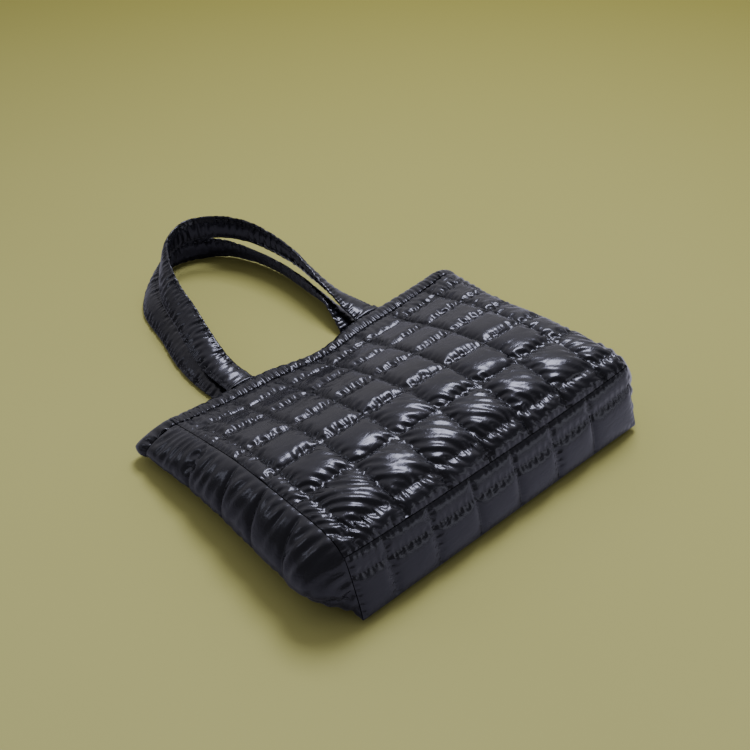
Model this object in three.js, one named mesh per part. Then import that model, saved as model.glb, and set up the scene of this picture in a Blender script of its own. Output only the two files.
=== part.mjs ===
import * as THREE from 'three';

// A quilted puffer tote bag of glossy black nylon, lying on its back panel with both straps
// spread out beyond the mouth. Millimetres, +Z up. X runs along the base seam, +Y runs from the
// base to the mouth, and z = 0 is the floor that the back panel lies on. The tables count x from
// the middle of the base and y from the base seam, and the finished bag is then centred.

// Quilting
const PITCH = 52; // spacing of the quilting lines
const FRONT_SHIFT = -8; // how far the middle quilting line of the front sits off centre
const BASE_SHIFT = 15; // the same for the base, whose cloth was cut separately
const FRONT_PUFF = 7; // height of a full cell above its stitching
const BASE_PUFF = 6;
const GUSSET_PUFF = 5;
const LINING_PUFF = 2; // how far a cell swells into the bag

// Walls
const WALL = 3; // cloth, wadding and lining squeezed together by the stitching
const BAND_SWELL = 1.2; // how far the folded hem swells on each face
const SEAM_SETBACK = 0.26; // each panel stops this far short of its seam

// Body, in the lying pose
const HALF_WIDTH = 180; // half of the base's length
const BAND_START = 290; // length of the quilted part, from base seam to band seam
const BAND_END = 310; // the mouth's edge
const BACK_START = -21; // the bottom seam lies this far outside the base seam
const BACK_HEIGHT = 4; // middle of the back panel's wall above the floor
const BACK_SEAM_HEIGHT = 7; // the back panel's edges curl up to this height
const BACK_CURL = 22; // width of the curled edge at the base
const BACK_ROUNDING = 12; // power that keeps the back flat until close to its side seams
const CROWN_POWER = 3; // power that keeps the front's crown broad
const DROP_POWER = 10; // power that keeps the right side's drop close to its seam
const BASE_BULGE = 4; // the base panel bows outwards by this much
const GUSSET_DROOP = 0.7; // below 1, the gusset's fold hangs nearer to the floor
const DROOP_START = 70; // the gusset stands straight at the base and droops from here on
const SAG_REACH = 72; // the mouth's front edge sags between its strap ends, this far from the centre

// Straps
const STRAP_WIDTH = 31;
const STRAP_THICKNESS = 7;
const FOOT_WIDTH = 36; // a strap spreads where it is sewn into the band
const FOOT_THICKNESS = 4;
const FOOT_LENGTH = 24; // over this length it narrows to its usual width
const STRAP_GAP = 0.3; // clearance to the band it is sewn to
const STRAP_SEGMENTS = 46;
const STRAP_SIDES = 10;
const STRAP_SQUARENESS = 0.6; // below 1, the padded cross-section is boxier than an ellipse

// The front panel and gussets, a row for each quilting line across the front panel.
// along: distance on the cloth from the base seam. y: distance from the base seam in plan.
// middle, edge: height of the front panel at its centre and at its side seams.
// half: distance of the side seams from the centre. leftFold, rightFold: how far each gusset
// folds outwards, the right one less because it is tucked under the front panel.
// sag: how far the centre slumps towards the base. drop: how much lower the right side seam lies.
const ROWS = [
  { along: 0, y: 0, middle: 66, edge: 71, half: 180, leftFold: 0, rightFold: 0, sag: 0, drop: 0 },
  { along: 22, y: 17, middle: 80, edge: 78, half: 180, leftFold: 27, rightFold: 15, sag: 0, drop: 2 },
  { along: 74, y: 69, middle: 82, edge: 76, half: 181, leftFold: 31, rightFold: 16, sag: 0, drop: 7 },
  { along: 121, y: 115, middle: 75, edge: 72, half: 182, leftFold: 30, rightFold: 10, sag: 0, drop: 10 },
  { along: 170, y: 161, middle: 61, edge: 64, half: 182, leftFold: 30, rightFold: 7, sag: 0, drop: 12 },
  { along: 216, y: 202, middle: 44, edge: 54, half: 183, leftFold: 30, rightFold: 8, sag: 0, drop: 9 },
  { along: 261, y: 240, middle: 27, edge: 42, half: 183, leftFold: 33, rightFold: 13, sag: 3, drop: 4 },
  { along: BAND_START, y: 267, middle: 20, edge: 33, half: 183, leftFold: 36, rightFold: 19, sag: 7, drop: 0 },
  { along: BAND_END, y: 287, middle: 18.5, edge: 25, half: 183, leftFold: 38, rightFold: 23, sag: 13, drop: 0 },
];

// Quilting lines across the gussets, and along the base and the gussets
const GUSSET_ROWS = [0, 61, 109.25, 157.75, 216, BAND_START];
const BASE_DEPTHS = [0, 0.31, 1];
const GUSSET_DEPTHS = [0, 0.655, 1];
const BAND_LINES = [BAND_START, BAND_END];

// The front strap arches clear of the floor. beyond: distance from the edge of the mouth.
// lean: 0 lies flat, 90 stands on its edge.
const FRONT_STRAP = [
  { x: -91, beyond: 6, height: 18, lean: 0 },
  { x: -95, beyond: 39, height: 23, lean: 8 },
  { x: -92, beyond: 74, height: 31, lean: 20 },
  { x: -84, beyond: 115, height: 38, lean: 32 },
  { x: -76, beyond: 156, height: 43, lean: 44 },
  { x: -60, beyond: 194, height: 47, lean: 62 },
  { x: -34, beyond: 226, height: 50, lean: 80 },
  { x: 0, beyond: 237, height: 51, lean: 90 },
  { x: 32, beyond: 221, height: 51, lean: 90 },
  { x: 54, beyond: 193, height: 49, lean: 88 },
  { x: 66, beyond: 159, height: 45, lean: 84 },
  { x: 72, beyond: 121, height: 40, lean: 76 },
  { x: 73, beyond: 87, height: 34, lean: 64 },
  { x: 75, beyond: 55, height: 28, lean: 45 },
  { x: 80, beyond: 29, height: 21, lean: 18 },
  { x: 84, beyond: 6, height: 18, lean: 0 },
];

// The back strap rests on the floor for its whole length.
const BACK_STRAP = [
  { x: -101, beyond: 5, lean: 0 },
  { x: -105, beyond: 35, lean: 14 },
  { x: -106, beyond: 77, lean: 32 },
  { x: -96, beyond: 131, lean: 38 },
  { x: -86, beyond: 186, lean: 42 },
  { x: -67, beyond: 216, lean: 48 },
  { x: -43, beyond: 237, lean: 66 },
  { x: -12, beyond: 247, lean: 84 },
  { x: 18, beyond: 239, lean: 88 },
  { x: 41, beyond: 217, lean: 74 },
  { x: 57, beyond: 181, lean: 66 },
  { x: 66, beyond: 140, lean: 64 },
  { x: 68, beyond: 88, lean: 66 },
  { x: 68, beyond: 45, lean: 48 },
  { x: 67, beyond: 5, lean: 0 },
];

// Grid lines that the panels share. Neighbouring panels meet point for point along a seam.
function quiltColumns(shift) {
  const lines = [-HALF_WIDTH];
  for (let index = -3; index <= 3; index += 1) {
    const x = shift + index * PITCH;
    if (HALF_WIDTH - Math.abs(x) > WALL * 4) lines.push(x);
  }
  lines.push(HALF_WIDTH);
  return lines.map((x) => x / HALF_WIDTH);
}

function subdivide(lines, steps) {
  const values = [];
  for (let index = 0; index + 1 < lines.length; index += 1) {
    const count = steps(lines[index + 1] - lines[index]);
    for (let step = 0; step < count; step += 1) {
      values.push(THREE.MathUtils.lerp(lines[index], lines[index + 1], step / count));
    }
  }
  values.push(lines[lines.length - 1]);
  return values;
}

const FRONT_COLUMNS = quiltColumns(FRONT_SHIFT);
const BASE_COLUMNS = quiltColumns(BASE_SHIFT);
const FRONT_ROWS = ROWS.slice(0, -1).map((row) => row.along);
const ALL_COLUMNS = [...new Set([...FRONT_COLUMNS, ...BASE_COLUMNS])].sort((a, b) => a - b);
const SHARES = subdivide(ALL_COLUMNS, () => 2);
const ALONGS = subdivide(FRONT_ROWS, (length) => (length > PITCH / 1.5 ? 4 : 2));
const DEPTHS = subdivide(BASE_DEPTHS, (depth) => (depth > 0.5 ? 4 : 2));
const BAND_ALONGS = subdivide(BAND_LINES, () => 3);

// Reads a table between its rows with a smooth curve through them.
function tableReader(rows, key) {
  const names = Object.keys(rows[0]).filter((name) => name !== key);
  const positions = rows.map((row) => row[key]);
  const values = rows.flatMap((row) => names.map((name) => row[name]));
  const curve = new THREE.CubicInterpolant(positions, values, names.length, []);
  return (position) => {
    const result = curve.evaluate(position);
    return Object.fromEntries(names.map((name, index) => [name, result[index]]));
  };
}

const readRow = tableReader(ROWS, 'along');

// The middle of each wall. share runs from -1 to 1 across the bag, depth from 0 at the front
// panel to 1 at the back panel, and along is measured on the cloth from the base.
function frontAt(share, along) {
  const row = readRow(along);
  const x = share * row.half;
  const slump = Math.cos(Math.min(1, Math.abs(x) / SAG_REACH) * Math.PI / 2) ** 2;
  const rise = Math.abs(share) ** CROWN_POWER;
  const fall = row.drop * Math.max(0, share) ** DROP_POWER;
  const height = THREE.MathUtils.lerp(row.middle, row.edge, rise) - fall;
  return new THREE.Vector3(x, row.y - row.sag * slump, height);
}

function backAt(share, along) {
  const sideCurl = Math.abs(share) ** BACK_ROUNDING;
  const baseCurl = Math.max(0, 1 - along / BACK_CURL) ** 2;
  const height = THREE.MathUtils.lerp(BACK_HEIGHT, BACK_SEAM_HEIGHT, Math.max(sideCurl, baseCurl));
  return new THREE.Vector3(share * readRow(along).half, BACK_START + along, height);
}

function gussetAt(side, depth, along) {
  const droop = THREE.MathUtils.smoothstep(along, 0, DROOP_START);
  const hanging = ((1 - Math.cos(Math.PI * depth)) / 2) ** GUSSET_DROOP;
  const point = frontAt(side, along).lerp(backAt(side, along), THREE.MathUtils.lerp(depth, hanging, droop));
  const { leftFold, rightFold } = readRow(along);
  point.x += side * (side < 0 ? leftFold : rightFold) * Math.sin(Math.PI * depth);
  return point;
}

function baseAt(share, depth) {
  const point = frontAt(share, 0).lerp(backAt(share, 0), depth);
  point.y -= BASE_BULGE * Math.sin(Math.PI * depth) * (1 - share ** 4);
  return point;
}

// Height of a quilted cell: 0 on its stitching, 1 at the centre of a full cell
function cellShape(lines, value, scale) {
  const index = Math.max(0, lines.findIndex((line) => line > value + 1e-6) - 1);
  const start = lines[index];
  const size = lines[index + 1] - start;
  const rise = Math.sin(Math.PI * THREE.MathUtils.clamp((value - start) / size, 0, 1));
  return Math.sqrt(Math.max(0, rise) * Math.min(1, (size * scale) / PITCH));
}

// A panel is a grid of points on the middle of its wall. a and b are the values of the grid
// lines, aCells and bCells those of the quilting lines, and puff and lining the swelling.
function quilted(name, at, facing, a, b, aCells, bCells, aScale, bScale, puff, lining) {
  return { name, at, facing, a, b, aCells, bCells, aScale, bScale, puff, lining };
}

const GUSSET_SCALE = 72; // depth of a gusset at the base
const PANELS = [
  quilted('front_panel', frontAt, 1, SHARES, ALONGS,
    FRONT_COLUMNS, FRONT_ROWS, HALF_WIDTH, 1, FRONT_PUFF, LINING_PUFF),
  quilted('back_panel', backAt, -1, SHARES, ALONGS,
    FRONT_COLUMNS, FRONT_ROWS, HALF_WIDTH, 1, FRONT_PUFF, LINING_PUFF),
  quilted('base_panel', baseAt, -1, SHARES, DEPTHS,
    BASE_COLUMNS, BASE_DEPTHS, HALF_WIDTH, GUSSET_SCALE, BASE_PUFF, LINING_PUFF),
  quilted('band_front', frontAt, 1, SHARES, BAND_ALONGS,
    [-1, 1], BAND_LINES, HALF_WIDTH, PITCH / 20, BAND_SWELL, BAND_SWELL),
  quilted('band_back', backAt, -1, SHARES, BAND_ALONGS,
    [-1, 1], BAND_LINES, HALF_WIDTH, PITCH / 20, BAND_SWELL, BAND_SWELL),
];
for (const [word, side] of [['left', -1], ['right', 1]]) {
  const at = (depth, along) => gussetAt(side, depth, along);
  PANELS.push(quilted(`gusset_${word}`, at, side, DEPTHS, ALONGS,
    GUSSET_DEPTHS, GUSSET_ROWS, GUSSET_SCALE, 1, GUSSET_PUFF, LINING_PUFF));
  PANELS.push(quilted(`band_${word}`, at, side, DEPTHS, BAND_ALONGS,
    [0, 1], BAND_LINES, GUSSET_SCALE, PITCH / 20, BAND_SWELL, BAND_SWELL));
}

// Outward direction of a panel at one of its grid points
function panelNormal(panel, a, b) {
  const aStep = (panel.a[panel.a.length - 1] - panel.a[0]) * 1e-4;
  const bStep = (panel.b[panel.b.length - 1] - panel.b[0]) * 1e-4;
  const clampA = (value) => THREE.MathUtils.clamp(value, panel.a[0], panel.a[panel.a.length - 1]);
  const clampB = (value) => THREE.MathUtils.clamp(value, panel.b[0], panel.b[panel.b.length - 1]);
  const alongA = panel.at(clampA(a + aStep), b).sub(panel.at(clampA(a - aStep), b));
  const alongB = panel.at(a, clampB(b + bStep)).sub(panel.at(a, clampB(b - bStep)));
  return alongA.cross(alongB).normalize().multiplyScalar(panel.facing);
}

const pointKey = (point) => point.toArray().map((value) => Math.round(value * 100)).join(' ');

// Every panel's outward direction at each point of the seams, so that walls meet in a mitre
function seamNormals(panels) {
  const found = new Map();
  for (const panel of panels) {
    for (const a of panel.a) {
      for (const b of panel.b) {
        const key = pointKey(panel.at(a, b));
        found.set(key, [...(found.get(key) ?? []), panelNormal(panel, a, b)]);
      }
    }
  }
  return found;
}

// Directions closer than this are one smooth surface, and walls never taper past MAX_MITRE
const SAME_SURFACE = Math.cos(THREE.MathUtils.degToRad(35));
const MAX_MITRE = 1.6;

// Offset from the middle of the wall to its outer face where surfaces of these directions meet
function mitre(normals) {
  const groups = [];
  for (const normal of normals) {
    const group = groups.find((other) => other.clone().normalize().dot(normal) > SAME_SURFACE);
    if (group) group.add(normal);
    else groups.push(normal.clone());
  }
  for (const group of groups) group.normalize();
  const sum = groups.reduce((total, group) => total.add(group), new THREE.Vector3()).normalize();
  const share = groups.reduce((total, group) => total + group.dot(sum), 0) / groups.length;
  return sum.multiplyScalar(Math.min(MAX_MITRE, 1 / share) * WALL / 2);
}

// Joins an outer and an inner grid of points by their rims into one closed solid.
function slabGeometry(outer, inner) {
  const columns = outer.length;
  const rows = outer[0].length;
  const positions = [];
  for (const grid of [outer, inner]) {
    for (const column of grid) {
      for (const point of column) positions.push(point.x, point.y, point.z);
    }
  }
  const index = (layer, i, j) => (layer * columns + i) * rows + j;
  const faces = [];
  const addQuad = (p, q, r, s) => faces.push(p, q, r, p, r, s);
  // Both sides of a seam split their rims the same way, from this outer to the next inner point.
  const addRim = ([i, j], [nextI, nextJ], forward) => {
    const [first, second] = [index(0, i, j), index(0, nextI, nextJ)];
    const [under, opposite] = [index(1, i, j), index(1, nextI, nextJ)];
    if (forward) faces.push(first, second, opposite, first, opposite, under);
    else faces.push(second, first, opposite, first, under, opposite);
  };
  const lastColumn = columns - 1;
  const lastRow = rows - 1;
  for (let i = 0; i < lastColumn; i += 1) {
    for (let j = 0; j < lastRow; j += 1) {
      addQuad(index(0, i, j), index(0, i + 1, j), index(0, i + 1, j + 1), index(0, i, j + 1));
      addQuad(index(1, i, j), index(1, i, j + 1), index(1, i + 1, j + 1), index(1, i + 1, j));
    }
    addRim([i, 0], [i + 1, 0], false);
    addRim([i, lastRow], [i + 1, lastRow], true);
  }
  for (let j = 0; j < lastRow; j += 1) {
    addRim([0, j], [0, j + 1], true);
    addRim([lastColumn, j], [lastColumn, j + 1], false);
  }
  return closedGeometry(positions, faces);
}

// Builds a solid whose faces point outwards, whichever way round they were listed.
function closedGeometry(positions, faces) {
  let volume = 0;
  const corner = (offset) => new THREE.Vector3().fromArray(positions, faces[offset] * 3);
  for (let offset = 0; offset < faces.length; offset += 3) {
    volume += corner(offset).dot(corner(offset + 1).cross(corner(offset + 2)));
  }
  const geometry = new THREE.BufferGeometry();
  geometry.setAttribute('position', new THREE.Float32BufferAttribute(positions, 3));
  geometry.setIndex(volume > 0 ? faces : [...faces].reverse());
  geometry.computeVertexNormals();
  return geometry;
}

// Moves the points on the rim of a grid towards its inside, to leave a gap at the seam.
function setBackRim(grid) {
  const lastColumn = grid.length - 1;
  const lastRow = grid[0].length - 1;
  const shifts = grid.map((column) => column.map(() => new THREE.Vector3()));
  const pull = (i, j, inwardI, inwardJ) => {
    const direction = grid[inwardI][inwardJ].clone().sub(grid[i][j]).normalize();
    shifts[i][j].addScaledVector(direction, SEAM_SETBACK);
  };
  for (let i = 0; i <= lastColumn; i += 1) {
    pull(i, 0, i, 1);
    pull(i, lastRow, i, lastRow - 1);
  }
  for (let j = 0; j <= lastRow; j += 1) {
    pull(0, j, 1, j);
    pull(lastColumn, j, lastColumn - 1, j);
  }
  return grid.map((column, i) => column.map((point, j) => point.clone().add(shifts[i][j])));
}

// A quilted panel as one solid: cells swell from their stitching, and lie flat on the floor.
function panelGeometry(panel, normals) {
  const outer = [];
  const inner = [];
  for (const a of panel.a) {
    const outerColumn = [];
    const innerColumn = [];
    for (const b of panel.b) {
      const middle = panel.at(a, b);
      const offset = mitre(normals.get(pointKey(middle)));
      const direction = offset.clone().normalize();
      const swell = cellShape(panel.aCells, a, panel.aScale) * cellShape(panel.bCells, b, panel.bScale);
      const outside = middle.clone().add(offset).addScaledVector(direction, panel.puff * swell);
      const inside = middle.clone().sub(offset).addScaledVector(direction, -panel.lining * swell);
      outside.z = Math.max(0, outside.z);
      outerColumn.push(outside);
      innerColumn.push(inside);
    }
    outer.push(outerColumn);
    inner.push(innerColumn);
  }
  return slabGeometry(setBackRim(outer), setBackRim(inner));
}

// How much of the foot's shape is left at a distance from the nearer end of a strap
const footShare = (distance) => Math.max(0, 1 - distance / FOOT_LENGTH) ** 2;

// A padded strap swept along its stations. Without a height it is laid on the floor.
function strapGeometry(stations, start, end) {
  const mouth = start.y - STRAP_GAP;
  const middle = stations.map(({ x, beyond, height, lean }) => {
    const turn = THREE.MathUtils.degToRad(lean);
    const resting = Math.max(start.z, Math.sin(turn) * STRAP_WIDTH / 2 + Math.cos(turn) * STRAP_THICKNESS / 2);
    return new THREE.Vector3(x, mouth + beyond, height ?? resting);
  });
  const path = new THREE.CatmullRomCurve3([start, ...middle, end], false, 'centripetal');
  const leans = [stations[0].lean, ...stations.map((station) => station.lean), 0];
  const length = path.getLength();
  const positions = [];
  const faces = [];
  for (let segment = 0; segment <= STRAP_SEGMENTS; segment += 1) {
    const travelled = segment / STRAP_SEGMENTS;
    const centre = path.getPointAt(travelled);
    const tangent = path.getTangentAt(travelled);
    const place = path.getUtoTmapping(travelled) * (leans.length - 1);
    const before = Math.min(leans.length - 2, Math.floor(place));
    const lean = THREE.MathUtils.lerp(leans[before], leans[before + 1], place - before);
    const turn = THREE.MathUtils.degToRad(lean);
    const inward = new THREE.Vector3(tangent.y, -tangent.x, 0).normalize();
    const upward = new THREE.Vector3().crossVectors(inward, tangent).normalize();
    const across = inward.clone().multiplyScalar(Math.cos(turn)).addScaledVector(upward, Math.sin(turn));
    const through = new THREE.Vector3().crossVectors(tangent, across);
    const foot = footShare(Math.min(travelled, 1 - travelled) * length);
    const halfWidth = THREE.MathUtils.lerp(STRAP_WIDTH, FOOT_WIDTH, foot) / 2;
    const halfThickness = THREE.MathUtils.lerp(STRAP_THICKNESS, FOOT_THICKNESS, foot) / 2;
    for (let side = 0; side < STRAP_SIDES; side += 1) {
      const angle = (side / STRAP_SIDES) * 2 * Math.PI;
      const wide = Math.sign(Math.cos(angle)) * Math.abs(Math.cos(angle)) ** STRAP_SQUARENESS;
      const thick = Math.sign(Math.sin(angle)) * Math.abs(Math.sin(angle)) ** STRAP_SQUARENESS;
      const point = centre.clone();
      point.addScaledVector(across, wide * halfWidth);
      point.addScaledVector(through, thick * halfThickness);
      positions.push(point.x, point.y, Math.max(0, point.z));
    }
  }
  const index = (segment, side) => segment * STRAP_SIDES + (side % STRAP_SIDES);
  for (let segment = 0; segment < STRAP_SEGMENTS; segment += 1) {
    for (let side = 0; side < STRAP_SIDES; side += 1) {
      faces.push(index(segment, side), index(segment, side + 1), index(segment + 1, side + 1));
      faces.push(index(segment, side), index(segment + 1, side + 1), index(segment + 1, side));
    }
  }
  for (let side = 1; side + 1 < STRAP_SIDES; side += 1) {
    faces.push(index(0, 0), index(0, side + 1), index(0, side));
    faces.push(index(STRAP_SEGMENTS, 0), index(STRAP_SEGMENTS, side), index(STRAP_SEGMENTS, side + 1));
  }
  return closedGeometry(positions, faces);
}

// The end of a strap, just off the mouth's edge of a band
function footPoint(bandAt, x) {
  const half = readRow(BAND_END).half;
  const point = bandAt(x / half, BAND_END);
  point.y += STRAP_GAP;
  return point;
}

const nylon = { color: 0x17181b, roughness: 0.28, metalness: 0 };
const bag = new THREE.Group();

function addPiece(name, geometry) {
  const mesh = new THREE.Mesh(geometry, new THREE.MeshStandardMaterial(nylon));
  mesh.name = name;
  bag.add(mesh);
}

const normals = seamNormals(PANELS);
for (const panel of PANELS) {
  addPiece(panel.name, panelGeometry(panel, normals));
}
for (const [name, stations, bandAt] of [
  ['strap_front', FRONT_STRAP, frontAt],
  ['strap_back', BACK_STRAP, backAt],
]) {
  const start = footPoint(bandAt, stations[0].x);
  const end = footPoint(bandAt, stations[stations.length - 1].x);
  addPiece(name, strapGeometry(stations, start, end));
}

// The origin is the bottom centre of the bag's box.
const bounds = new THREE.Box3().setFromObject(bag);
const centre = bounds.getCenter(new THREE.Vector3());
bag.position.set(-centre.x, -centre.y, -bounds.min.z);

export default bag;
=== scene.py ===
"""A quilted puffer tote bag of glossy black nylon, lying on its back panel.

The forms below are worked out in millimetres, with x from the middle of the base, y from the base
seam towards the mouth and z up from the floor, and are then shifted to the frame of the bag.
"""

import logging
import math
from dataclasses import dataclass, field
from enum import Enum
from typing import Callable, Iterable, Sequence

import bpy
import numpy as np
from mathutils import Matrix, Vector


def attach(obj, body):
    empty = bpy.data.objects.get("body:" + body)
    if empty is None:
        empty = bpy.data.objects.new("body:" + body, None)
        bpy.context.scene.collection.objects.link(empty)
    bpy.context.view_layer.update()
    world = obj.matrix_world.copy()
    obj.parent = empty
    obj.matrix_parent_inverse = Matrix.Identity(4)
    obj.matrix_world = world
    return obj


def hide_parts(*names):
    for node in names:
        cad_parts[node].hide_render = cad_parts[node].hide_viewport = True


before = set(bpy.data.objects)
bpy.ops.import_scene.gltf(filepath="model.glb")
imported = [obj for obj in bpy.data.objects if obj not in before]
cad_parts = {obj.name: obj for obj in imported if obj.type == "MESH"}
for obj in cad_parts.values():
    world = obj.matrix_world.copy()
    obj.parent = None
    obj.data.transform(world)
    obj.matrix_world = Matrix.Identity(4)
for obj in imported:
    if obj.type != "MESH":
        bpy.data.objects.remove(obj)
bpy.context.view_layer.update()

log = logging.getLogger("puffer_tote")
Grid = np.ndarray
Colour = tuple[float, float, float]
Inputs = dict[str | int, object]

MM = 0.001
CENTRING = np.array([7.705, -257.237, 0.0])  # from the base seam's middle to the origin of the bag
PITCH = 52.0  # spacing of the quilting lines
HALF_WIDTH = 180.0
BAND_START = 290.0  # the band seam, measured on the cloth from the base seam
BAND_END = 310.0  # the mouth's edge
WALL = 3.0  # cloth, wadding and lining squeezed together by the stitching
SEAM_SETBACK = 0.4  # each panel stops this far short of its seam
SPACING = 1.44  # of the points on the shell cloth
COARSE = 4  # the lining has one point for this many of the shell's


class Side(Enum):
    """The two gussets, with the direction of x that each faces."""

    LEFT = -1
    RIGHT = 1


@dataclass(frozen=True)
class Row:
    """One quilting line across the front panel."""

    along: float
    y: float
    middle: float
    edge: float
    half: float
    left_fold: float
    right_fold: float
    sag: float = 0.0  # how far its centre slumps towards the base
    drop: float = 0.0  # how much lower the right side seam lies


ROWS = (
    Row(0, 0, 66, 71, 180, 0, 0),
    Row(22, 17, 80, 78, 180, 27, 15, drop=2),
    Row(74, 69, 82, 76, 181, 31, 16, drop=7),
    Row(121, 115, 75, 72, 182, 30, 10, drop=10),
    Row(170, 161, 61, 64, 182, 30, 7, drop=12),
    Row(216, 202, 44, 54, 183, 30, 8, drop=9),
    Row(261, 240, 27, 42, 183, 33, 13, sag=3, drop=4),
    Row(BAND_START, 267, 20, 33, 183, 36, 19, sag=7),
    Row(BAND_END, 287, 18.5, 25, 183, 38, 23, sag=13),
)
GUSSET_ROWS = (0, 61, 109.25, 157.75, 216, BAND_START)
BASE_DEPTHS = (0, 0.31, 1)
GUSSET_DEPTHS = (0, 0.655, 1)
GUSSET_SCALE = 72.0  # depth of a gusset at the base


def lerp(start: Grid, end: Grid, share: Grid) -> Grid:
    """Blends start into end by share."""
    return start + (end - start) * share


def ease(value: Grid, low: float, high: float) -> Grid:
    """Rises smoothly from 0 at low to 1 at high."""
    share = np.clip((value - low) / (high - low), 0, 1)
    return share * share * (3 - 2 * share)


def unit(vectors: Grid) -> Grid:
    """Scales vectors to a length of 1."""
    return vectors / np.maximum(np.linalg.norm(vectors, axis=-1, keepdims=True), 1e-12)


def dot(first: Grid, second: Grid) -> Grid:
    """Dot product along the last axis."""
    return np.einsum("...k,...k->...", first, second)


def subdivide(lines: Sequence[float], scale: float, spacing: float) -> Grid:
    """Places grid lines between quilting lines.

    Args:
        lines: values of the quilting lines.
        scale: millimetres for one unit of value.
        spacing: wanted distance of the grid lines, in millimetres.

    Returns:
        The values of all grid lines, a multiple of COARSE in each interval.
    """
    values: list[float] = []
    for start, end in zip(lines[:-1], lines[1:]):
        count = max(1, round((end - start) * scale / spacing / COARSE)) * COARSE
        values.extend(np.linspace(start, end, count, endpoint=False))
    return np.array([*values, lines[-1]])


def quilt_columns(shift: float) -> list[float]:
    """Values of the lengthwise quilting lines, as shares of the half width, for a shifted cut."""
    lines = [shift + index * PITCH for index in range(-3, 4)]
    inner = [line for line in lines if HALF_WIDTH - abs(line) > 4 * WALL]
    return [line / HALF_WIDTH for line in (-HALF_WIDTH, *inner, HALF_WIDTH)]


def smooth_noise(shape: tuple[int, int], cell: int, rng: np.random.Generator) -> Grid:
    """A smooth random field.

    Args:
        shape: number of points each way.
        cell: size of its features, in points.
        rng: the seeded generator.

    Returns:
        Values between -1 and 1.
    """
    coarse = rng.uniform(-1, 1, (shape[0] // cell + 3, shape[1] // cell + 3))
    rows, columns = np.arange(shape[0]) / cell, np.arange(shape[1]) / cell
    i, j = rows.astype(int), columns.astype(int)
    u = ease(rows - i, 0, 1)[:, None]
    v = ease(columns - j, 0, 1)[None, :]
    near = lerp(coarse[np.ix_(i, j)], coarse[np.ix_(i + 1, j)], u)
    far = lerp(coarse[np.ix_(i, j + 1)], coarse[np.ix_(i + 1, j + 1)], u)
    return lerp(near, far, v)


def uneven(shape: tuple[int, int], cells: tuple[int, int], variety: float,
           rng: np.random.Generator) -> Grid:
    """A factor around 1 that changes from place to place.

    Args:
        shape: number of points each way.
        cells: sizes of its broad and its fine features, in points.
        variety: how much it changes.
        rng: the seeded generator.

    Returns:
        The factor at each point, never below 0.
    """
    broad, fine = (smooth_noise(shape, cell, rng) for cell in cells)
    return np.maximum(0, 1 + variety * (broad + fine))


class SmoothTable:
    """Reads a table between its rows with a smooth curve through them."""

    def __init__(self, rows: Sequence[Row]) -> None:
        """Keeps each column of the rows as an array."""
        self.columns = {name: np.array([getattr(row, name) for row in rows], float)
                        for name in rows[0].__dataclass_fields__}

    def read(self, name: str, where: Grid) -> Grid:
        """Reads one column.

        Args:
            name: the column's name.
            where: positions along the cloth.

        Returns:
            The column's values there.
        """
        at, values = self.columns["along"], self.columns[name]
        where = np.clip(np.asarray(where, float), at[0], at[-1])
        upper = np.clip(np.searchsorted(at, where, side="right"), 1, len(at) - 1)
        lower = upper - 1
        before = np.where(upper >= 2, upper - 2, upper)
        after = np.where(upper + 1 < len(at), upper + 1, lower)
        half_step = (at[upper] - at[lower]) / 2
        lead = half_step / (at[lower] - at[before])
        trail = half_step / (at[after] - at[upper])
        p = (where - at[lower]) / (at[upper] - at[lower])
        square, cube = p * p, p * p * p
        total = (-lead * cube + 2 * lead * square - lead * p) * values[before]
        total += ((1 + lead) * cube - (1.5 + 2 * lead) * square + (lead - 0.5) * p + 1) * values[lower]
        total += (-(1 + trail) * cube + (1.5 + trail) * square + 0.5 * p) * values[upper]
        return total + (trail * cube - trail * square) * values[after]


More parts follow.
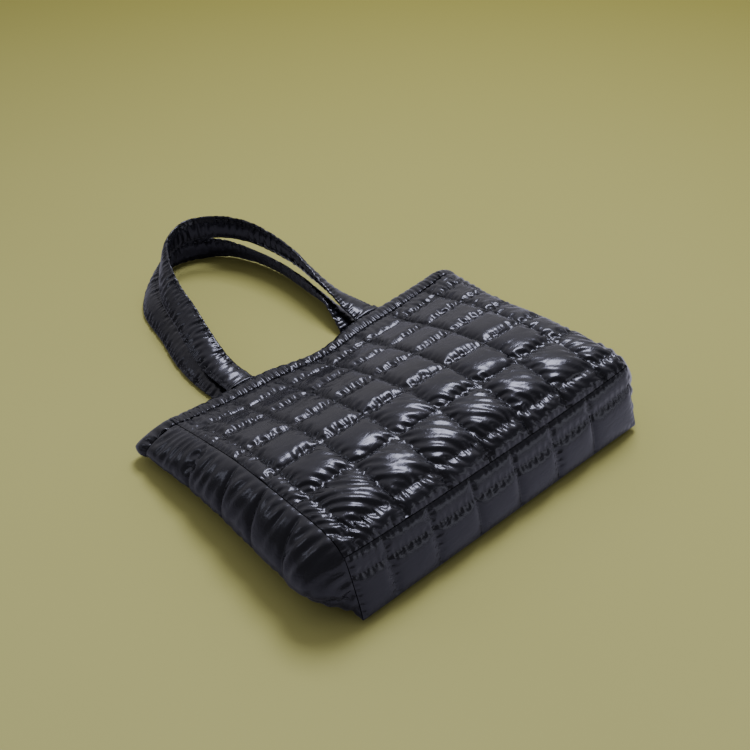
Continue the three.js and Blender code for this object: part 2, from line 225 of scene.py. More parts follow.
@dataclass(frozen=True)
class BagForm:
    """Middle of each wall of the lying bag. share is -1 to 1 across the bag and depth 0 to 1."""

    back_start: float = -21.0
    back_height: float = 4.0
    back_seam_height: float = 7.0
    back_curl: float = 22.0
    back_rounding: int = 12
    crown_power: int = 3
    drop_power: int = 10
    sag_reach: float = 72.0
    base_bulge: float = 4.0
    gusset_droop: float = 0.7
    droop_start: float = 70.0
    table: SmoothTable = field(default_factory=lambda: SmoothTable(ROWS))

    def front(self, share: Grid, along: Grid) -> Grid:
        """Points of the upper panel."""
        read = self.table.read
        x = share * read("half", along)
        slump = np.cos(np.minimum(1, np.abs(x) / self.sag_reach) * math.pi / 2) ** 2
        height = lerp(read("middle", along), read("edge", along), np.abs(share) ** self.crown_power)
        height = height - read("drop", along) * np.maximum(0, share) ** self.drop_power
        return np.stack([x, read("y", along) - read("sag", along) * slump, height], -1)

    def back(self, share: Grid, along: Grid) -> Grid:
        """Points of the lower panel, which curls up to its seams."""
        base_curl = np.maximum(0, 1 - along / self.back_curl) ** 2
        curl = np.maximum(np.abs(share) ** self.back_rounding, base_curl)
        height = lerp(self.back_height, self.back_seam_height, curl)
        half = self.table.read("half", along)
        return np.stack([share * half, self.back_start + along + 0 * share, height], -1)

    def gusset(self, side: Side, depth: Grid, along: Grid) -> Grid:
        """Points of a side, which folds outwards towards the mouth."""
        hanging = ((1 - np.cos(math.pi * depth)) / 2) ** self.gusset_droop
        fall = lerp(depth, hanging, ease(along, 0, self.droop_start))[..., None]
        share = np.full_like(fall[..., 0], side.value)
        reach = along + 0 * depth
        points = lerp(self.front(share, reach), self.back(share, reach), fall)
        fold = self.table.read("left_fold" if side is Side.LEFT else "right_fold", along)
        points[..., 0] += side.value * fold * np.sin(math.pi * depth)
        return points

    def base(self, share: Grid, depth: Grid) -> Grid:
        """Points of the boxed base."""
        shares, start = share + 0 * depth, 0 * share + 0 * depth
        points = lerp(self.front(shares, start), self.back(shares, start), (depth + start)[..., None])
        points[..., 1] -= self.base_bulge * np.sin(math.pi * depth) * (1 - share**4)
        return points


FORM = BagForm()
FRONT_COLUMNS = quilt_columns(-8)
BASE_COLUMNS = quilt_columns(15)
FRONT_ROWS = [row.along for row in ROWS[:-1]]
SHARES = subdivide(sorted({*FRONT_COLUMNS, *BASE_COLUMNS}), HALF_WIDTH, SPACING)
ALONGS = subdivide(sorted({*FRONT_ROWS, *GUSSET_ROWS}), 1, SPACING)
DEPTHS = subdivide(sorted({*BASE_DEPTHS, *GUSSET_DEPTHS}), GUSSET_SCALE, SPACING)


def facing_normals(points: Grid, facing: int) -> Grid:
    """Unit normals of a grid of points.

    Args:
        points: the grid, shaped (rows, columns, 3).
        facing: 1 or -1, which side is outside.

    Returns:
        A normal for each point.
    """
    across = np.empty_like(points)
    along = np.empty_like(points)
    across[1:-1] = points[2:] - points[:-2]
    across[0], across[-1] = points[1] - points[0], points[-1] - points[-2]
    along[:, 1:-1] = points[:, 2:] - points[:, :-2]
    along[:, 0], along[:, -1] = points[:, 1] - points[:, 0], points[:, -1] - points[:, -2]
    return unit(np.cross(across, along)) * points.dtype.type(facing)


@dataclass
class Wall:
    """One panel of the bag as a grid on the middle of its wall, with its quilting lines."""

    name: str
    at: Callable[[Grid, Grid], Grid]
    facing: int
    a: Grid
    b: Grid
    a_lines: Sequence[float]
    b_lines: Sequence[float]
    a_scale: float
    b_scale: float

    def __post_init__(self) -> None:
        """Works out the grid's points and outward directions."""
        self.a_grid, self.b_grid = np.meshgrid(self.a, self.b, indexing="ij")
        self.middle = self.at(self.a_grid, self.b_grid)
        self.normal = facing_normals(self.middle, self.facing)
        self.offset = self.normal * (WALL / 2)

    def rim(self) -> Iterable[tuple[int, int]]:
        """Indices of the grid's outer points."""
        rows, columns = self.a_grid.shape
        for i in range(rows):
            yield i, 0
            yield i, columns - 1
        for j in range(1, columns - 1):
            yield 0, j
            yield rows - 1, j

    def line_indices(self) -> tuple[list[int], list[int]]:
        """Grid indices of the quilting lines each way, the seams included."""
        rows = [int(np.argmin(np.abs(self.a - line))) for line in self.a_lines]
        columns = [int(np.argmin(np.abs(self.b - line))) for line in self.b_lines]
        return rows, columns

    def set_back(self, points: Grid) -> Grid:
        """Pulls the rim of a grid inwards, to leave the seam's gap."""
        moved = points.copy()
        for edge, inner in ((0, 1), (-1, -2)):
            moved[edge] += unit(points[inner] - points[edge]) * SEAM_SETBACK
            moved[:, edge] += unit(points[:, inner] - points[:, edge]) * SEAM_SETBACK
        return moved


class Seams:
    """Makes neighbouring walls meet in a mitre along their seams."""

    same_surface: float = math.cos(math.radians(35))
    longest: float = 1.6

    def __init__(self, walls: Sequence[Wall]) -> None:
        """Gathers the outward directions at each seam point and sets the walls' rim offsets."""
        found: dict[tuple[int, ...], list[Grid]] = {}
        for wall in walls:
            for spot in wall.rim():
                found.setdefault(self.key(wall.middle[spot]), []).append(wall.normal[spot])
        for wall in walls:
            for spot in wall.rim():
                wall.offset[spot] = self.mitre(found[self.key(wall.middle[spot])])

    @staticmethod
    def key(point: Grid) -> tuple[int, ...]:
        """A point's place to a fiftieth of a millimetre."""
        return tuple(int(round(value * 50)) for value in point)

    def mitre(self, normals: Sequence[Grid]) -> Grid:
        """Offset from the middle of the wall to its outer face where surfaces meet.

        Args:
            normals: outward directions of the surfaces at the point.

        Returns:
            The offset, in millimetres.
        """
        groups: list[Grid] = []
        for normal in normals:
            for index, group in enumerate(groups):
                if float(unit(group) @ normal) > self.same_surface:
                    groups[index] = group + normal
                    break
            else:
                groups.append(normal.copy())
        groups = [unit(group) for group in groups]
        total = unit(np.sum(groups, axis=0))
        share = sum(float(group @ total) for group in groups) / len(groups)
        return total * min(self.longest, 1 / share) * WALL / 2


@dataclass(frozen=True)
class Slack:
    """How much more shell cloth there is than its wadding needs."""

    body: float = 0.0  # everywhere
    line: float = 0.13  # gathered along the stitching
    fade: float = 5.0  # distance over which that dies out
    shear: float = 0.0  # skewed cut, which gives slanting folds
    long: float = 0.0  # more of it lengthwise, which gives folds down the panel
    variety: float = 0.5  # how much these change from place to place


class ShellCloth:
    """Shell cloth over wadding, simulated as a grid of points that its stitches hold."""

    soft: float = 0.002  # wadding under the cloth
    firm: float = 3.0  # it resists pressing in more than lifting off
    reach: float = 1.4  # furthest a fold stands off the wadding, in millimetres
    stop: float = 0.3  # how firmly it is stopped there
    loft: float = 0.002  # the wadding presses the cloth outwards
    skew: float = 0.5  # strength of the slanting threads
    glide: float = 0.93  # share of its motion that a point keeps
    steps: int = 300
    quick_steps: int = 40

    def __init__(self, base: Grid, facing: int, held: Grid, slack: tuple[Grid, Grid, Grid],
                 bend: float = 0.006) -> None:
        """Sets up the cloth's lengths.

        Args:
            base: the wadding's surface.
            facing: 1 or -1, which side of the grid is outside.
            held: true where a stitch or a seam holds the cloth.
            slack: extra length both ways, and skew, at each point.
            bend: stiffness, below 0.03. A stiffer cloth has broader folds.
        """
        self.bend = bend
        self.base = base.astype(np.float32)
        self.outward = facing_normals(self.base, facing)
        self.free = (1.0 - held).astype(np.float32)
        self.base_curl = self.curl(self.base)
        extra_u, extra_v, shear = slack
        step_u, step_v = base[1:] - base[:-1], base[:, 1:] - base[:, :-1]
        u = np.linalg.norm(step_u, axis=-1) * (1 + (extra_u[1:] + extra_u[:-1]) / 2)
        v = np.linalg.norm(step_v, axis=-1) * (1 + (extra_v[:, 1:] + extra_v[:, :-1]) / 2)
        cell_u, cell_v = (u[:, 1:] + u[:, :-1]) / 2, (v[1:] + v[:-1]) / 2
        mean_u, mean_v = step_u[:, 1:] + step_u[:, :-1], step_v[1:] + step_v[:-1]
        cosine = dot(unit(mean_u), unit(mean_v)) + (shear[1:, 1:] + shear[:-1, :-1]) / 2
        both, product = cell_u**2 + cell_v**2, 2 * cell_u * cell_v * cosine
        rising, falling = np.sqrt(both + product), np.sqrt(both - product)
        every, upper, lower = slice(None), slice(1, None), slice(None, -1)
        self.threads: list[tuple] = []
        for first in (0, 1):
            a, b = slice(first, -1, 2), slice(first + 1, None, 2)
            self.add((a, every), (b, every), u[first::2], 1.0)
            self.add((every, a), (every, b), v[:, first::2], 1.0)
            self.add((a, lower), (b, upper), rising[first::2], self.skew)
            self.add((a, upper), (b, lower), falling[first::2], self.skew)

    def add(self, a: tuple, b: tuple, length: Grid, strength: float) -> None:
        """Adds the threads from the points a to the points b, none of which share a point."""
        weight_a, weight_b = self.free[a], self.free[b]
        total = np.maximum(weight_a + weight_b, 1e-6) / np.float32(strength)
        self.threads.append((a, b, length.astype(np.float32), weight_a / total, weight_b / total))

    @staticmethod
    def curl(points: Grid) -> Grid:
        """How far each point is from the middle of its neighbours."""
        result = np.zeros_like(points)
        result[1:-1] += points[2:] + points[:-2] - 2 * points[1:-1]
        result[:, 1:-1] += points[:, 2:] + points[:, :-2] - 2 * points[:, 1:-1]
        return result

    def settle(self, base: Grid, held: Grid, ruffle: float, rng: np.random.Generator) -> Grid:
        """Ruffles the cloth a little, then lets it buckle and come to rest.

        Args:
            base: the wadding's surface, where it starts.
            held: true where a stitch or a seam holds the cloth.
            ruffle: how far its points start off that surface, in millimetres.
            rng: the seeded generator.

        Returns:
            Where it lies, never below the floor.
        """
        shift = ruffle * rng.uniform(-1, 1, held.shape) * (1 - held)
        points = (base + self.outward * shift[..., None]).astype(np.float32)
        last = points.copy()
        free = self.free[..., None]
        for _ in range(self.steps):
            moved = (points - last) * (np.float32(self.glide) * free)
            last[...] = points
            points += moved
            for a, b, length, share_a, share_b in self.threads:
                start, end = points[a], points[b]
                gap = end - start
                reach = np.sqrt(np.einsum("ijk,ijk->ij", gap, gap)) + np.float32(1e-9)
                pull = 1 - length / reach
                start += gap * (pull * share_a)[..., None]
                end -= gap * (pull * share_b)[..., None]
            points -= self.curl(self.curl(points) - self.base_curl) * (np.float32(self.bend) * free)
            height = np.einsum("ijk,ijk->ij", points - self.base, self.outward)
            excess = np.sign(height) * np.maximum(0, np.abs(height) - self.reach)
            give = self.soft * np.where(height > 0, 1, self.firm) * height + self.stop * excess - self.loft
            points -= self.outward * (give * self.free)[..., None].astype(np.float32)
            np.maximum(points[..., 2], 0, out=points[..., 2])
        return points.astype(float)


@dataclass
class Shell:
    """A piece's points and faces while it is being built, in millimetres."""

    points: list[Grid] = field(default_factory=list)
    cloth: list[Grid] = field(default_factory=list)
    faces: list[tuple[int, ...]] = field(default_factory=list)
    creases: list[Grid] = field(default_factory=list)
    count: int = 0

    def add_points(self, points: Grid, cloth: Grid) -> Grid:
        """Adds points.

        Args:
            points: a grid or a row of points.
            cloth: their two coordinates on the flat cloth.

        Returns:
            Their indices, in the same arrangement.
        """
        flat = points.reshape(-1, 3)
        self.points.append(flat)
        self.cloth.append(cloth.reshape(-1, 2))
        indices = np.arange(self.count, self.count + len(flat)).reshape(points.shape[:-1])
        self.count += len(flat)
        return indices

    def add_grid(self, indices: Grid) -> None:
        """Adds the four-sided faces of a grid of points."""
        corners = (indices[:-1, :-1], indices[1:, :-1], indices[1:, 1:], indices[:-1, 1:])
        self.faces.extend(map(tuple, np.stack(corners, -1).reshape(-1, 4).tolist()))

    def add_rim(self, outer: Grid, inner: Grid) -> None:
        """Joins a row of outer points to a row of inner ones, one for every COARSE of them."""
        self.creases.append(outer)
        for index in range(len(inner) - 1):
            start = index * COARSE
            middle = start + COARSE // 2
            for step in range(start, middle):
                self.faces.append((int(inner[index]), int(outer[step + 1]), int(outer[step])))
            self.faces.append((int(inner[index]), int(inner[index + 1]), int(outer[middle])))
            for step in range(middle, start + COARSE):
                self.faces.append((int(inner[index + 1]), int(outer[step + 1]), int(outer[step])))

    def add_cap(self, ring: Sequence[int]) -> None:
        """Closes a ring of points with a fan round its middle."""
        flat = np.concatenate(self.points)
        cloth = np.concatenate(self.cloth)
        chosen = [int(index) for index in ring]
        centre = self.add_points(flat[chosen].mean(0)[None], cloth[chosen].mean(0)[None])[0]
        for index, point in enumerate(chosen):
            self.faces.append((point, chosen[(index + 1) % len(chosen)], int(centre)))

    def add_tube(self, points: Grid, cloth: Grid) -> None:
        """Adds a closed tube.

        Args:
            points: its points, a row for each ring.
            cloth: their two coordinates on the flat cloth.
        """
        ring = self.add_points(points, cloth)
        ring = np.concatenate([ring, ring[:, :1]], 1)
        self.add_grid(ring)
        self.add_cap(ring[0, :-1])
        self.add_cap(ring[-1, -2::-1])

    def build(self, name: str, material: bpy.types.Material) -> bpy.types.Object:
        """Makes the Blender object.

        Args:
            name: the piece's name.
            material: its finish.

        Returns:
            The closed object, its faces outwards and its place in its mesh.
        """
        points = (np.concatenate(self.points) + CENTRING) * MM
        mesh = bpy.data.meshes.new(name)
        mesh.from_pydata(points.tolist(), [], self.faces)
        if signed_volume(mesh) < 0:
            mesh.flip_normals()
        mesh.polygons.foreach_set("use_smooth", [True] * len(mesh.polygons))
        corners = np.empty(len(mesh.loops), int)
        mesh.loops.foreach_get("vertex_index", corners)
        layer = mesh.uv_layers.new(name="cloth")
        layer.data.foreach_set("uv", (np.concatenate(self.cloth)[corners] * MM).ravel())
        mesh.set_sharp_from_angle(angle=math.radians(70))
        self.crease(mesh)
        mesh.materials.append(material)
        mesh.update()
        piece = bpy.data.objects.new(name, mesh)
        bpy.context.scene.collection.objects.link(piece)
        return piece

    def crease(self, mesh: bpy.types.Mesh) -> None:
        """Marks the edges along the rims as sharp."""
        if not self.creases:
            return
        ends = np.empty(len(mesh.edges) * 2, int)
        mesh.edges.foreach_get("vertices", ends)
        rims = np.concatenate([np.stack([row[:-1], row[1:]], -1) for row in self.creases])
        key = np.array([self.count, 1])
        rim = np.isin(np.sort(ends.reshape(-1, 2), 1) @ key, np.sort(rims, 1) @ key)
        marks = mesh.attributes.get("sharp_edge") or mesh.attributes.new("sharp_edge", "BOOLEAN", "EDGE")
        sharp = np.empty(len(mesh.edges), bool)
        marks.data.foreach_get("value", sharp)
        marks.data.foreach_set("value", sharp | rim)


def signed_volume(mesh: bpy.types.Mesh) -> float:
    """Volume inside a closed mesh, negative where it is inside out."""
    places = np.empty(len(mesh.vertices) * 3)
    mesh.vertices.foreach_get("co", places)
    places = places.reshape(-1, 3)
    mesh.calc_loop_triangles()
    triangles = np.empty(len(mesh.loop_triangles) * 3, int)
    mesh.loop_triangles.foreach_get("vertices", triangles)
    corners = places[triangles.reshape(-1, 3)]
    return float(dot(corners[:, 0], np.cross(corners[:, 1], corners[:, 2])).sum() / 6)


class NodeSet:
    """Adds nodes to a tree, each with its settings and inputs in one call."""

    def __init__(self, tree: bpy.types.NodeTree) -> None:
        """Keeps the tree."""
        self.tree = tree

    def add(self, kind: str, inputs: Inputs | None = None, **settings: object) -> bpy.types.Node:
        """Adds a node.

        Args:
            kind: the node's type.
            inputs: for each input's name or place, its value or the socket that feeds it.
            settings: the node's own properties.

        Returns:
            The node.
        """
        node = self.tree.nodes.new(kind)
        for name, value in settings.items():
            setattr(node, name, value)
        self.feed(node, inputs or {})
        return node

    def feed(self, node: bpy.types.Node, inputs: Inputs) -> None:
        """Sets a node's inputs to values, or links them to the sockets that feed them."""
        for name, value in inputs.items():
            if isinstance(value, bpy.types.NodeSocket):
                self.tree.links.new(value, node.inputs[name])
            else:
                node.inputs[name].default_value = value

    def noise(self, place: bpy.types.NodeSocket, scale: float, **inputs: float) -> bpy.types.NodeSocket:
        """Adds a noise texture of a scale, and gives its value."""
        return self.add("ShaderNodeTexNoise", {"Vector": place, "Scale": scale, **inputs}).outputs["Fac"]

    def ramp(self, share: bpy.types.NodeSocket, deep: Colour, light: Colour,
             ends: tuple[float, float] = (0.0, 1.0)) -> bpy.types.NodeSocket:
        """Adds a colour ramp.

        Args:
            share: the socket that it reads.
            deep: colour up to the first end.
            light: colour from the second end on.
            ends: where the change between them starts and stops.

        Returns:
            The socket with the colour.
        """
        node = self.add("ShaderNodeValToRGB", {"Fac": share})
        for element, position, colour in zip(node.color_ramp.elements, ends, (deep, light)):
            element.position = position
            element.color = (*colour, 1)
        return node.outputs["Color"]

    def between(self, value: bpy.types.NodeSocket, low: float, high: float) -> bpy.types.NodeSocket:
        """Spreads a value from 0 to 1 over a range."""
        inputs = {"Value": value, "To Min": low, "To Max": high}
        return self.add("ShaderNodeMapRange", inputs).outputs["Result"]

    def along(self, place: bpy.types.NodeSocket, direction: Sequence[float], start: float, end: float,
              reach: tuple[float, float] = (0.0, 1.0), course: str = "LINEAR") -> bpy.types.NodeSocket:
        """Adds a value that changes along a direction.

        Args:
            place: the coordinates.
            direction: where to.
            start: distance at which the change starts.
            end: distance at which it stops.
            reach: the values before and after it.
            course: how it goes from one to the other.

        Returns:
            The socket with the value.
        """
        distance = self.add("ShaderNodeVectorMath", {0: place, 1: direction}, operation="DOT_PRODUCT")
        inputs = {"Value": distance.outputs["Value"], "From Min": start, "From Max": end,
                  "To Min": reach[0], "To Max": reach[1]}
        return self.add("ShaderNodeMapRange", inputs, interpolation_type=course).outputs["Result"]

    def mix(self, share: bpy.types.NodeSocket, first: object, second: object) -> bpy.types.NodeSocket:
        """Mixes two colours by share."""
        inputs = {"Factor": share, "A": first, "B": second}
        return self.add("ShaderNodeMix", inputs, data_type="RGBA").outputs["Result"]


def new_material(name: str) -> tuple[bpy.types.Material, NodeSet, bpy.types.Node]:
    """Makes a material, and gives it with its nodes and its shader."""
    material = bpy.data.materials.new(name)
    material.use_nodes = True
    return material, NodeSet(material.node_tree), material.node_tree.nodes["Principled BSDF"]


@dataclass(frozen=True)
class GlossNylon:
    """Coated black nylon, smooth enough for clear highlights."""

    name: str
    roughness: float = 0.25
    coat: float = 0.25
    crinkle: float = 0.4
    weave: float = 0.06
    deep: Colour = (0.0055, 0.0056, 0.0075)
    light: Colour = (0.011, 0.0112, 0.0145)

    def material(self) -> bpy.types.Material:
        """Builds the node tree of the finish."""
        material, nodes, shader = new_material(self.name)
        place = nodes.add("ShaderNodeTexCoord").outputs
        tint = nodes.noise(place["Object"], 34.0, Detail=4.0)
        slanted = nodes.add("ShaderNodeMapping", {"Vector": place["Object"], "Scale": (0.45, 1, 1),
                                                  "Rotation": (0, 0, math.radians(42))}).outputs["Vector"]
        creases = nodes.noise(slanted, 150.0, Detail=4.0, Distortion=0.8)
        crinkle = nodes.add("ShaderNodeBump", {
            "Height": creases,
            "Strength": self.crinkle,
            "Distance": 0.0014,
        })
        weave = nodes.add("ShaderNodeBump", {
            "Height": self.threads(nodes, place["UV"]),
            "Strength": self.weave,
            "Distance": 0.0001,
            "Normal": crinkle.outputs["Normal"],
        })
        nodes.feed(shader, {
            "Base Color": nodes.ramp(tint, self.deep, self.light, (0.3, 0.75)),
            "Roughness": nodes.between(tint, self.roughness - 0.05, self.roughness + 0.07),
            "IOR": 1.47,
            "Specular Tint": (0.89, 0.885, 1.0, 1),
            "Coat Weight": self.coat,
            "Coat Roughness": 0.12,
            "Coat IOR": 1.5,
            "Normal": weave.outputs["Normal"],
        })
        return material

    @staticmethod
    def threads(nodes: NodeSet, cloth: bpy.types.NodeSocket) -> bpy.types.NodeSocket:
        """Adds a plain weave of fine threads along both directions of the cloth.

        Args:
            nodes: the material's nodes.
            cloth: the coordinates on the cloth.

        Returns:
            The socket with the weave's height.
        """
        ways = [nodes.add("ShaderNodeTexWave", {"Vector": cloth, "Scale": 480.0, "Distortion": 0.3},
                          bands_direction=direction).outputs["Fac"] for direction in ("X", "Y")]
        return nodes.add("ShaderNodeMath", dict(enumerate(ways)), operation="MAXIMUM").outputs["Value"]


@dataclass(frozen=True)
class ThreadFinish:
    """Black polyester sewing thread."""

    name: str = "black_thread"
    deep: Colour = (0.006, 0.006, 0.008)
    light: Colour = (0.03, 0.03, 0.034)

    def material(self) -> bpy.types.Material:
        """Builds the node tree of the finish."""
        material, nodes, shader = new_material(self.name)
        plies = nodes.noise(nodes.add("ShaderNodeTexCoord").outputs["Object"], 1800.0)
        bump = nodes.add("ShaderNodeBump", {"Height": plies, "Strength": 0.4, "Distance": 0.0002})
        nodes.feed(shader, {
            "Base Color": nodes.ramp(plies, self.deep, self.light),
            "Roughness": nodes.between(plies, 0.35, 0.6),
            "Sheen Weight": 0.2,
            "Normal": bump.outputs["Normal"],
        })
        return material


@dataclass(frozen=True)
class FloorFinish:
    """Pale matt paper with a trace of olive, with painted shade that darkens it towards the back. In the
    bag's reflections it shows a painted reflection: a darker grey, and lighter in front of the base.
    """

    name: str = "pale_floor"
    deep: Colour = (0.535, 0.52, 0.175)
    light: Colour = (0.57, 0.55, 0.195)
    # painted shade: the floor's colour towards the back, where it darkens
    far: Colour = (0.3, 0.275, 0.055)
    # painted reflection: colours the bag's reflections see instead of the floor's own, a darker grey that is
    # lighter in front of the base
    reflected: Colour = (0.32, 0.31, 0.33)
    reflected_ahead: Colour = (0.72, 0.7, 0.74)  # in front of the base

    def material(self) -> bpy.types.Material:
        """Builds the node tree of the finish."""
        material, nodes, shader = new_material(self.name)
        place = nodes.add("ShaderNodeTexCoord").outputs["Object"]
        mottled = nodes.ramp(nodes.noise(place, 3.0), self.deep, self.light)
        away = nodes.along(place, (0.74, 0.67, 0), -0.5, 1.0)
        ahead = nodes.along(place, (0.6, -0.8, 0), -0.1, 0.4)
        # painted shade: the floor darkens towards the back
        far_shaded = nodes.mix(away, mottled, (*self.far, 1))
        # painted reflection: the floor as the bag's reflections see it, lighter in front of the base
        grey = nodes.mix(ahead, (*self.reflected, 1), (*self.reflected_ahead, 1))
        direct = nodes.add("ShaderNodeLightPath").outputs["Is Camera Ray"]
        nodes.feed(shader, {
            "Base Color": nodes.mix(direct, grey, far_shaded),
            "Roughness": 0.9,
            "Specular IOR Level": 0.2,
        })
        return material


def register(piece: bpy.types.Object, node: str = "") -> None:
    """Tells the frame what a piece is, and reports it.

    Args:
        piece: the finished object.
        node: the CAD node that it replaces, if any.
    """
    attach(piece, "root")
    if node:
        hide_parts(node)
    log.info("%s: %d faces", piece.name, len(piece.data.polygons))


@dataclass
class StitchRows:
    """Sewing thread, one short stitch after another, gathered from the quilting lines, the bands' seams and
    the straps' edges.
    """

    thread: float = 0.3  # radius of the thread
    share: float = 0.8  # of each stitch's length that shows
    lift: float = 0.25  # height of the thread above the cloth
    centres: list[Grid] = field(default_factory=list)
    steps: list[Grid] = field(default_factory=list)

    def add_line(self, points: Grid, normals: Grid) -> None:
        """Adds the stitches between the held points of one line."""
        raised = points + normals * self.lift
        self.centres.append((raised[1:] + raised[:-1]) / 2)
        self.steps.append(raised[1:] - raised[:-1])

    def tree(self, material: bpy.types.Material) -> bpy.types.GeometryNodeTree:
        """Builds the nodes that put one stitch at each point.

        Args:
            material: the thread's finish.

        Returns:
            The node tree, with the thread's sizes as named inputs.
        """
        tree = bpy.data.node_groups.new("stitch_rows", "GeometryNodeTree")
        sockets = tree.interface
        sockets.new_socket("Geometry", in_out="INPUT", socket_type="NodeSocketGeometry")
        for name in ("Thread radius", "Shown share"):
            sockets.new_socket(name, in_out="INPUT", socket_type="NodeSocketFloat")
        sockets.new_socket("Geometry", in_out="OUTPUT", socket_type="NodeSocketGeometry")
        nodes = NodeSet(tree)
        source = nodes.add("NodeGroupInput").outputs
        direction = nodes.add("GeometryNodeInputNamedAttribute", {"Name": "direction"},
                              data_type="FLOAT_VECTOR")
        along = direction.outputs["Attribute"]
        turn = nodes.add("FunctionNodeAlignRotationToVector", {"Vector": along}, axis="Z")
        length = nodes.add("ShaderNodeVectorMath", {0: along}, operation="LENGTH")
        half = nodes.add("ShaderNodeMath", {0: length.outputs["Value"], 1: 0.5}, operation="MULTIPLY")
        shown = nodes.add("ShaderNodeMath", {0: half.outputs["Value"], 1: source["Shown share"]},
                          operation="MULTIPLY")
        size = nodes.add("ShaderNodeCombineXYZ", {"X": source["Thread radius"], "Y": source["Thread radius"],
                                                  "Z": shown.outputs["Value"]})
        bead = nodes.add("GeometryNodeMeshUVSphere", {"Segments": 6, "Rings": 5, "Radius": 1.0})
        place = nodes.add("GeometryNodeInstanceOnPoints", {
            "Points": source["Geometry"],
            "Instance": bead.outputs["Mesh"],
            "Rotation": turn.outputs["Rotation"],
            "Scale": size.outputs["Vector"],
        })
        realize = nodes.add("GeometryNodeRealizeInstances", {"Geometry": place.outputs["Instances"]})
        dress = nodes.add("GeometryNodeSetMaterial", {"Geometry": realize.outputs["Geometry"],
                                                      "Material": material})
        nodes.add("NodeGroupOutput", {"Geometry": dress.outputs["Geometry"]})
        return tree

    def build(self, name: str, material: bpy.types.Material) -> bpy.types.Object:
        """Makes all stitches one plain mesh.

        Args:
            name: the piece's name.
            material: the thread's finish.

        Returns:
            The object.
        """
        centres = (np.concatenate(self.centres) + CENTRING) * MM
        steps = np.concatenate(self.steps) * MM
        mesh = bpy.data.meshes.new(name + "_points")
        mesh.from_pydata(centres.tolist(), [], [])
        mesh.attributes.new("direction", "FLOAT_VECTOR", "POINT").data.foreach_set("vector", steps.ravel())
        piece = bpy.data.objects.new(name, mesh)
        bpy.context.scene.collection.objects.link(piece)
        modifier = piece.modifiers.new("stitches", "NODES")
        modifier.node_group = self.tree(material)
        values = {"Thread radius": self.thread * MM, "Shown share": self.share}
        for socket in modifier.node_group.interface.items_tree:
            if socket.in_out == "INPUT" and socket.name in values:
                modifier[socket.identifier] = values[socket.name]
        evaluated = piece.evaluated_get(bpy.context.evaluated_depsgraph_get())
        sewn = bpy.data.meshes.new_from_object(evaluated)
        piece.modifiers.remove(modifier)
        piece.data = sewn
        piece.data.name = name
        sewn.polygons.foreach_set("use_smooth", [True] * len(sewn.polygons))
        return piece


